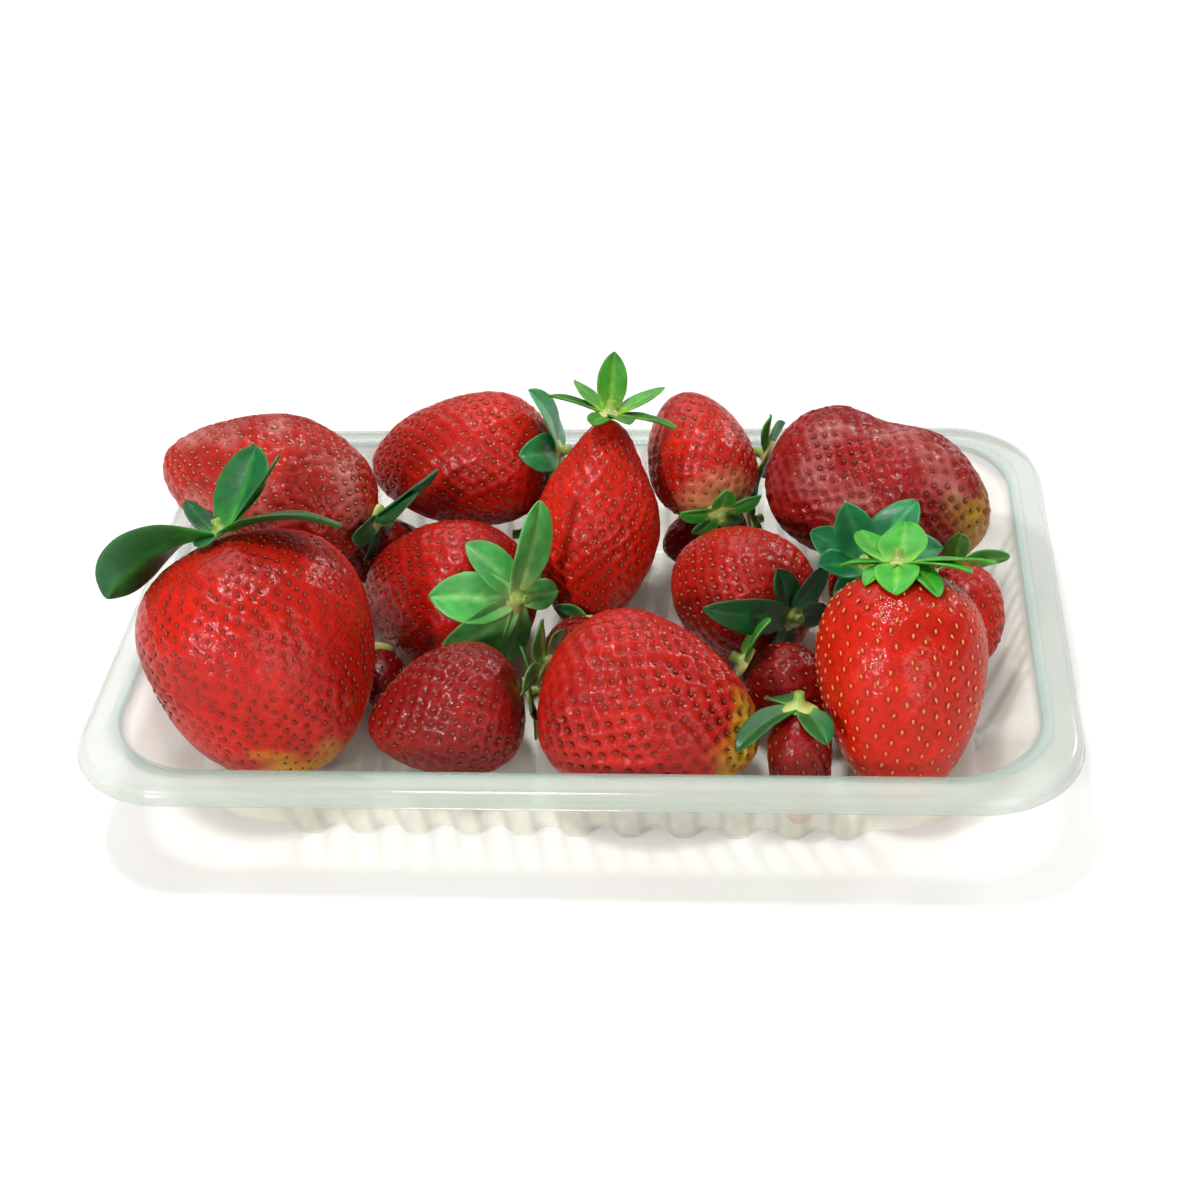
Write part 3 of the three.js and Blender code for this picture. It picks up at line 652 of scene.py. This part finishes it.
def make_leaves(name, shape, order):
    chance = np.random.default_rng(900 + order)
    axes, middle = berry_axes(shape), berry_place(name, shape)
    cap_height = shape["length"] / 2 + GAP
    points, faces, paint = [], [], []
    per_row = LEAF_COLUMNS + 1
    for sepal in shape["sepals"]:
        grid, tint = sepal_surface(sepal, cap_height, shape, chance)
        base = len(points)
        points.extend(grid)
        paint.extend(tint)
        for row in range(LEAF_ROWS - 1):
            for column in range(LEAF_COLUMNS):
                a = base + row * per_row + column
                faces.append((a, a + per_row, a + per_row + 1, a + 1))
    placed = np.array(points) @ axes.T + middle
    leaves = mesh_object("sepals_" + name, placed, faces, LEAF)
    painted(leaves, "leaf", with_alpha(paint))
    bpy.context.view_layer.objects.active = leaves
    thick = leaves.modifiers.new("thickness", "SOLIDIFY")
    thick.thickness = SEPAL_SKIN * MM
    thick.offset = 0
    round_off = leaves.modifiers.new("rounding", "SUBSURF")
    round_off.levels = round_off.render_levels = 1
    belongs(leaves, "calyx_leaf", "leaves_" + name)
    make_stub(name, shape, axes, middle, cap_height)


def make_stub(name, shape, axes, middle, cap_height):
    """The pale cap that the sepals grow from, running into the cut stub of the stem."""
    profile = [
        (3.5, 0.0),
        (3.4, 0.35),
        (2.7, 0.8),
        (1.7, 1.15),
        (1.2, 1.6),
        (1.0, 2.4),
        (1.02, CAP_THICKNESS / 2 + STEM_LENGTH - 0.12),
        (0.85, CAP_THICKNESS / 2 + STEM_LENGTH),
        (0.4, CAP_THICKNESS / 2 + STEM_LENGTH - 0.12),
    ]
    if not shape["stub"]:
        profile = [*profile[:4], (1.2, 1.3), (0.5, 1.35)]
    sides = 20
    points, faces, paint = [], [], []
    pale, green = np.array(colour("C9CF7C")[:3]), np.array(colour("7FA03C")[:3])
    for row, (radius, height) in enumerate(profile):
        for side in range(sides):
            angle = 2 * math.pi * side / sides
            lobed = radius * (1 + 0.05 * math.cos(5 * angle) * (row < 3))
            points.append((lobed * math.cos(angle), lobed * math.sin(angle), cap_height + height))
            share = min(1, height / 2.5)
            paint.append(pale * (1 - share) + green * share)
    for row in range(len(profile) - 1):
        for side in range(sides):
            a, b = row * sides + side, row * sides + (side + 1) % sides
            faces.append((a, b, b + sides, a + sides))
    faces.append(tuple(reversed(range(sides))))
    faces.append(tuple(range((len(profile) - 1) * sides, len(profile) * sides)))
    placed = np.array(points) @ axes.T + middle
    stub = mesh_object("stem_stub_" + name, placed, faces, LEAF)
    painted(stub, "leaf", with_alpha(paint))
    belongs(stub, "calyx_leaf")


# ---- Tray ------------------------------------------------------------------------------------


def smooth_step(value):
    t = np.clip(value, 0, 1)
    return t * t * (3 - 2 * t)


def rib_at(coordinate, count):
    """1 over the middle of a rib and 0 between ribs, for count ribs RIB_PITCH apart."""
    nearest = np.clip(np.round(coordinate / RIB_PITCH + (count - 1) / 2), 0, count - 1) - (count - 1) / 2
    away = np.abs(coordinate - nearest * RIB_PITCH)
    return 1 - smooth_step((away - RIB_FLAT / 2 + 0.4) / (RIB_SLOPE + 0.8))


def tray_stations():
    """Where the sheet is sampled round the tray: a side's place along it, or an angle in a corner."""
    long_half = TRAY_LENGTH / 2 - MOUTH_INSET - WALL_LEAN - FLOOR_CORNER
    short_half = TRAY_WIDTH / 2 - MOUTH_INSET - WALL_LEAN - FLOOR_CORNER
    long_side = np.linspace(-long_half, long_half, 161)
    short_side = np.linspace(-short_half, short_half, 77)
    corner = np.radians(np.linspace(0, 90, 21)[1:-1])
    stations = [("side", 0, s) for s in long_side] + [("corner", 0, a) for a in corner]
    stations += [("side", 1, s) for s in short_side] + [("corner", 1, a) for a in corner]
    stations += [("side", 2, s) for s in long_side] + [("corner", 2, a) for a in corner]
    stations += [("side", 3, s) for s in short_side] + [("corner", 3, a) for a in corner]
    return stations, (long_half, short_half)


def tray_ring(stations, reach, inset, height, radius, rib_out, rib_down):
    """One closed row of points: the rounded outline inset from the lip, at one height."""
    half = np.array([TRAY_LENGTH / 2 - inset, TRAY_WIDTH / 2 - inset])
    row = []
    for kind, side, value in stations:
        if kind == "side":
            along, out = (half[1], 0) if side % 2 == 0 else (half[0], 1)
            straight = half[out] - radius
            share = abs(value) / reach[out]
            stretch = math.copysign(max(0.0, straight - reach[out]), value)
            place = value + stretch * smooth_step((share - 0.94) / 0.06)
            rib = float(rib_at(value, RIB_COUNTS[out]))
            push = along + rib * rib_out
            drop = height - (rib * rib_down if side % 2 == 0 else 0)
            point = ((place, -push), (push, place), (-place, push), (-push, -place))[side]
            row.append((*point, drop))
        else:
            centre = half - radius
            a = value
            corner = (
                (centre[0] + radius * math.sin(a), -centre[1] - radius * math.cos(a)),
                (centre[0] + radius * math.cos(a), centre[1] + radius * math.sin(a)),
                (-centre[0] - radius * math.sin(a), centre[1] + radius * math.cos(a)),
                (-centre[0] - radius * math.cos(a), -centre[1] - radius * math.sin(a)),
            )[side]
            row.append((*corner, height))
    return row


def tray_paint(points, rings, stations):
    """The sheet's faint tint and how much it veils, the same on all four sides: clear on its floor and walls.
    The flange carries a painted grey reflection, and the lip, the bend between them and the ribs' flanks
    carry painted shade for light bent in the sheet, each with a stronger veil."""
    paint = np.tile([*colour("F8F9E8")[:3], 0.24], (len(points), 1))
    count = len(stations)
    rib = [rib_at(value, RIB_COUNTS[side % 2]) if kind == "side" else 0.0 for kind, side, value in stations]
    flank = np.array([4 * share * (1 - share) for share in rib])[:, None]
    # Painted shade along the mouth bend, for light bent in the curved sheet.
    bend = np.array([*colour("8CAA9C")[:3], 0.48])
    # Painted reflection: a grey tint on the flat rim.
    flange = np.array([*colour("C2CAC0")[:3], 0.42])
    # Painted shade along the outer lip.
    lip = np.array([*colour("B9C3B8")[:3], 0.42])
    # Painted shade on the ribs' flanks, giving two dark dashes per rib.
    rib_flank_shade = np.array([*colour("8C9E80")[:3], 0.5])
    for row, (_, height, _, grown, _) in enumerate(rings):
        span = slice(row * count, (row + 1) * count)
        if height > TRAY_DEPTH - 1.2:
            paint[span] = bend if 7 <= row <= 9 else flange
        elif row < 2:
            paint[span] = lip
        elif grown > 0:
            paint[span] = paint[span] * (1 - 0.6 * flank) + rib_flank_shade * 0.6 * flank
    return paint


def make_tray():
    """The thermoformed sheet: lip, flat rim, leaning ribbed wall and corrugated floor."""
    stations, reach = tray_stations()
    mid = SHEET / 2
    floor_top, fillet = 2.5, 2.5
    rings = [(mid, TRAY_DEPTH - LIP_DROP, RIM_CORNER, 0, 0)]
    rings.append((mid + 0.7, TRAY_DEPTH - 1.4, RIM_CORNER - 0.4, 0, 0))
    for angle in (0, 30, 60, 90):
        a = math.radians(angle)
        height = TRAY_DEPTH - mid - 0.9 * (1 - math.sin(a))
        rings.append((mid + 1.9 - 0.9 * math.cos(a), height, 18.9 - 0.4 * math.sin(a), 0, 0))
    rings.append((mid + 4.6, TRAY_DEPTH - mid, 18.2, 0, 0))
    for angle in (90, 60, 30, 8):
        a = math.radians(angle)
        height = TRAY_DEPTH - mid - 0.9 * (1 - math.sin(a))
        rings.append((MOUTH_INSET - mid - 0.9 + 0.9 * math.cos(a), height, MOUTH_CORNER, 0, 0))
    for share in np.linspace(0.1, 0.75, 9):
        height = TRAY_DEPTH - LIP_DROP + (floor_top + fillet - TRAY_DEPTH + LIP_DROP) * (share - 0.1) / 0.65
        grown = RIB_DEPTH / 2 * min(1.0, 0.1 + (share - 0.1) * 2.4)
        rings.append((MOUTH_INSET + WALL_LEAN * share - mid, height, MOUTH_CORNER + 2 * share, grown, 0))
    for share in (0.83, 0.9, 0.96, 1.0):
        bend = (share - 0.75) / 0.25
        height = mid + RIB_DEPTH + (floor_top + fillet - RIB_DEPTH - mid) * (1 - bend) ** 1.8
        inset = MOUTH_INSET + WALL_LEAN * share - mid
        rings.append((inset, height, MOUTH_CORNER + 2 * share, RIB_DEPTH / 2, RIB_DEPTH * bend**1.5))
    points = []
    for ring in rings:
        points.extend(tray_ring(stations, reach, *ring))
    count = len(stations)
    faces = []
    for row in range(len(rings) - 1):
        for i in range(count):
            j = (i + 1) % count
            a = row * count
            faces.append((a + i, a + count + i, a + count + j, a + j))

    # The floor joins each place on the front edge to the one straight behind it.
    last = (len(rings) - 1) * count
    front = [i for i, (kind, side, _) in enumerate(stations) if kind == "side" and side == 0]
    right = [i for i, (kind, side, _) in enumerate(stations) if (kind, side) == ("corner", 0)]
    left = [i for i, (kind, side, _) in enumerate(stations) if (kind, side) == ("corner", 3)]
    order = left + front + right
    partner = {}
    for i in order:
        x, y, _ = points[last + i]
        apart = [(points[last + k][0] - x) ** 2 + (points[last + k][1] + y) ** 2 for k in range(count)]
        partner[i] = apart.index(min(apart))
    steps = 12
    columns = []
    for i in order:
        low, high = np.array(points[last + i]), np.array(points[last + partner[i]])
        column = [last + i]
        for step in range(1, steps):
            column.append(len(points))
            points.append(tuple(low + (high - low) * step / steps))
        column.append(last + partner[i])
        columns.append(column)
    for first, second in zip(columns[:-1], columns[1:]):
        for step in range(steps):
            faces.append((first[step], first[step + 1], second[step + 1], second[step]))
    # The two ends of the floor, between the corners, as one row of faces to the end walls.
    for column, side in ((columns[-1], 1), (columns[0], 3)):
        edge = [last + i for i, (kind, where, _) in enumerate(stations) if kind == "side" and where == side]
        if side == 3:
            edge = edge[::-1]
        edge = [column[0]] + edge + [column[-1]] if column[0] not in edge else edge
        inner = column[1:-1]
        border = edge + inner[::-1]
        faces.append(tuple(border if side == 3 else border[::-1]))
    tray = mesh_object("tray_sheet", points, faces, PET)
    # The paint holds the sheet's tint, with painted shade and a painted reflection at its bends, rim, lip and
    # rib flanks.
    painted(tray, "sheet", tray_paint(points, rings, stations))
    bpy.context.view_layer.objects.active = tray
    thick = tray.modifiers.new("thickness", "SOLIDIFY")
    thick.thickness = SHEET * MM
    thick.offset = 0
    belongs(tray, "tray_plastic", "tray")
    return tray


# ---- Everything in place ---------------------------------------------------------------------

SKIN = strawberry_skin()
LEAF = sepal_leaf()
PET = clear_pet()
SEEDS = {code: achene(code) for code in sorted({{**PLAIN, **own}["seed"] for own in BERRIES.values()})}

for order, (name, own) in enumerate(BERRIES.items()):
    shape = {**PLAIN, **own}
    make_berry(name, shape, order)
    make_leaves(name, shape, order)
make_tray()

# ---- Floor, light and camera -----------------------------------------------------------------

bpy.ops.mesh.primitive_plane_add(size=12, location=(0, 0, 0))
floor = bpy.context.object
floor.name = "white_sweep"
sweep, _, _ = material("white_paper_sweep", {"Base Color": colour("F8F8F6"), "Roughness": 0.9})
floor.data.materials.append(sweep)

world = bpy.data.worlds.new("studio")
bpy.context.scene.world = world
world.use_nodes = True
background = world.node_tree.nodes["Background"]
background.inputs["Color"].default_value = colour("FFFFFF")
background.inputs["Strength"].default_value = 0.24


def softbox(name, place, aim, size, power):
    """A square area light at place, turned to aim, both in metres."""
    light = bpy.data.lights.new(name, "AREA")
    light.shape = "SQUARE"
    light.size = size
    light.energy = power
    made = bpy.data.objects.new(name, light)
    bpy.context.scene.collection.objects.link(made)
    made.location = place
    made.rotation_euler = (Vector(aim) - Vector(place)).to_track_quat("-Z", "Y").to_euler()


HEAP = (0, 0, 0.02)
softbox("overhead", (-0.12, 0.0, 0.85), HEAP, 0.12, 4.4)
softbox("front_left", (-0.45, -0.8, 0.45), HEAP, 0.1, 5.6)
softbox("front_right", (0.5, -0.8, 0.3), HEAP, 0.5, 2.9)
softbox("backdrop", (-0.3, 1.0, 0.8), (-0.3, 1.0, 0), 0.9, 6)
softbox("back_right", (0.6, 0.6, 0.5), HEAP, 0.2, 3)

# A camera a little right of the middle, looking down on the heap.
ELEVATION, AZIMUTH, ROLL = (math.radians(v) for v in (35.25, 6.78, -3.83))
DISTANCE = 441.2 * MM
back = Vector(
    (
        math.sin(AZIMUTH) * math.cos(ELEVATION),
        -math.cos(AZIMUTH) * math.cos(ELEVATION),
        math.sin(ELEVATION),
    )
)
ahead = -back
right = ahead.cross(Vector((0, 0, 1))).normalized()
upward = right.cross(ahead)
level = right * math.cos(ROLL) + upward * math.sin(ROLL)
top = upward * math.cos(ROLL) - right * math.sin(ROLL)
lens = bpy.data.cameras.new("camera")
lens.sensor_width = 36
lens.lens = 2159.5 / 1200 * 36
lens.shift_x = 0.0086
lens.shift_y = -0.0085
lens.clip_start = 0.01
camera = bpy.data.objects.new("camera", lens)
bpy.context.scene.collection.objects.link(camera)
turned = Matrix((level, top, back)).transposed().to_4x4()
camera.matrix_world = Matrix.Translation(back * DISTANCE + Vector((0, 0, TRAY_DEPTH * MM))) @ turned
bpy.context.scene.camera = camera
bpy.context.scene.view_settings.view_transform = "Standard"
